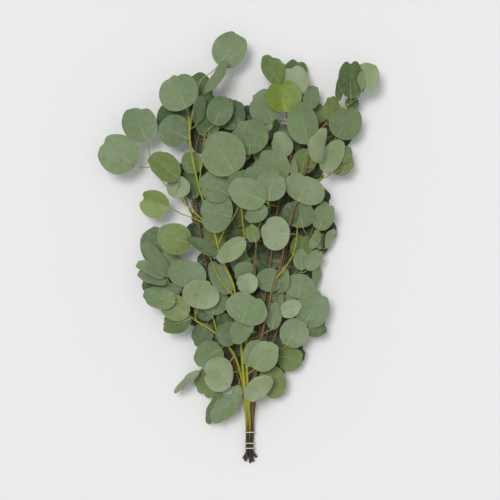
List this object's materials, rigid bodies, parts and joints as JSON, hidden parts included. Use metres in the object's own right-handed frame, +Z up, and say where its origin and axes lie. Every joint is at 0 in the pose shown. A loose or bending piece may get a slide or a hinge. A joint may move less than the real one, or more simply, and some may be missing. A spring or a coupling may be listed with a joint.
{
  "type": "eucalyptus bunch",
  "caption": "Tied bunch of silver-dollar eucalyptus branches lying flat, with round grey-green leaves fanning from cut stems bound by a wound strand.",
  "frame": {"origin": "on the table under the middle of the bunch's box, as it lies", "axes": "+Z up from the table, +Y along the bunch from its cut ends to the leaf tips, +X to the right seen from above"},
  "size_m": [0.393, 0.6056, 0.0834],
  "materials": {
    "leaf": "matte, waxy bloom",
    "stem": "smooth young bark",
    "tie": "matte"
  },
  "bodies": {
    "root": {"branch_under_left": "leaf", "branch_under_right": "leaf", "branch_top_centre": "leaf", "branch_left_low": "leaf", "branch_right_low": "leaf", "branch_right_high": "leaf", "branch_left_high": "leaf", "branch_centre": "leaf", "tie": "tie"}
  },
  "joints": []
}
